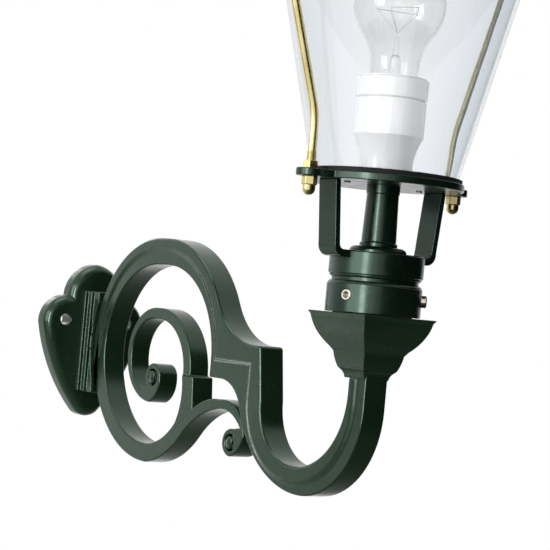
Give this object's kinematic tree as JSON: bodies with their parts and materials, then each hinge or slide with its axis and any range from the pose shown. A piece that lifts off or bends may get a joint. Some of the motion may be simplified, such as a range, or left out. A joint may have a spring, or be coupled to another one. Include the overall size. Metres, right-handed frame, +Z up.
{
  "type": "wall lantern",
  "caption": "Outdoor wall lantern on a scrolled cast arm, with a tapered clear glass held by bent brass rods, a screw lampholder with bulb and a lift-off hood.",
  "frame": {"origin": "on the wall, midway between the two wall screws", "axes": "+X out from the wall to the lantern, +Z up, Y along the wall"},
  "size_m": [0.484, 0.248, 0.526],
  "materials": {
    "green_paint": "gloss, dark green paint on cast aluminium",
    "brass": "polished, bright",
    "clear_glass": "clear",
    "white_ceramic": null,
    "stainless": "bright turned",
    "zinc_steel": "zinc plated",
    "gasket_rubber": "matt black",
    "cap_metal": "bright pressed",
    "filament_wire": "fine drawn wire"
  },
  "bodies": {
    "bracket": {"wall_plate": "green_paint", "arm_foot": "green_paint", "scroll_arm": "green_paint", "lower_scroll": "green_paint", "inner_volute": "green_paint", "capital": "green_paint", "spigot": "green_paint", "spigot_bolt": "zinc_steel"},
    "grub_screw_1": {"grub_screw_1": "stainless"},
    "grub_screw_2": {"grub_screw_2": "stainless"},
    "grub_screw_3": {"grub_screw_3": "stainless"},
    "bulb": {"bulb_cap": "cap_metal", "bulb_contact": "cap_metal", "bulb_glass": "clear_glass", "bulb_stem": "clear_glass", "bulb_filament": "filament_wire"},
    "hood": {"hood_rim": "green_paint", "hood_gasket": "gasket_rubber", "hood_crown": "green_paint", "vent_neck": "green_paint", "vent_cap": "green_paint", "finial": "green_paint", "hood_bridge": "zinc_steel", "hood_stud": "zinc_steel", "hood_stud_nut": "zinc_steel"},
    "hood_nut_near": {"hood_nut_near": "brass"},
    "hood_nut_far": {"hood_nut_far": "brass"},
    "lantern": {"socket_collar": "green_paint", "upper_ring": "green_paint", "yoke": "green_paint", "boss": "green_paint", "centre_column": "green_paint", "centre_tie": "zinc_steel", "tie_nut_lower": "zinc_steel", "tie_nut_upper": "zinc_steel", "base_disc": "green_paint", "glass_gasket": "gasket_rubber", "glass_cone": "clear_glass", "tie_rod_near": "brass", "tie_rod_far": "brass", "rod_hex_nuts": "brass", "rod_acorn_nuts": "brass", "holder_plate": "zinc_steel", "holder_screws": "zinc_steel", "lampholder_body": "white_ceramic", "lampholder_ring": "white_ceramic", "screw_shell": "brass", "centre_contact": "brass"}
  },
  "joints": [
    {"name": "lantern_swivel", "type": "hinge", "parent": "bracket", "child": "lantern", "pos_m": [0.36, 0, 0.045], "axis": [0, 0, 1], "range_deg": [-180, 180]},
    {"name": "grub_screw_1_travel", "type": "slide", "parent": "lantern", "child": "grub_screw_1", "axis": [0.2756, -0.9613, 0], "range_m": [0, 0.006]},
    {"name": "grub_screw_2_travel", "type": "slide", "parent": "lantern", "child": "grub_screw_2", "axis": [0.6561, 0.7547, 0], "range_m": [-0.0033, 0.0027]},
    {"name": "grub_screw_3_travel", "type": "slide", "parent": "lantern", "child": "grub_screw_3", "axis": [-0.9816, 0.1908, 0], "range_m": [0, 0.006]},
    {"name": "bulb_unscrew", "type": "hinge", "parent": "lantern", "child": "bulb", "pos_m": [0.36, 0, 0.15], "axis": [0, 0, 1], "range_deg": [0, 1260]},
    {"name": "hood_lift", "type": "slide", "parent": "lantern", "child": "hood", "axis": [0, 0, 1], "range_m": [0, 0.12]},
    {"name": "hood_nut_near_turn", "type": "hinge", "parent": "hood", "child": "hood_nut_near", "pos_m": [0.36, -0.112, 0.32], "axis": [0, 0, 1], "range_deg": [0, 3600]},
    {"name": "hood_nut_far_turn", "type": "hinge", "parent": "hood", "child": "hood_nut_far", "pos_m": [0.36, 0.112, 0.32], "axis": [0, 0, 1], "range_deg": [0, 3600]}
  ]
}
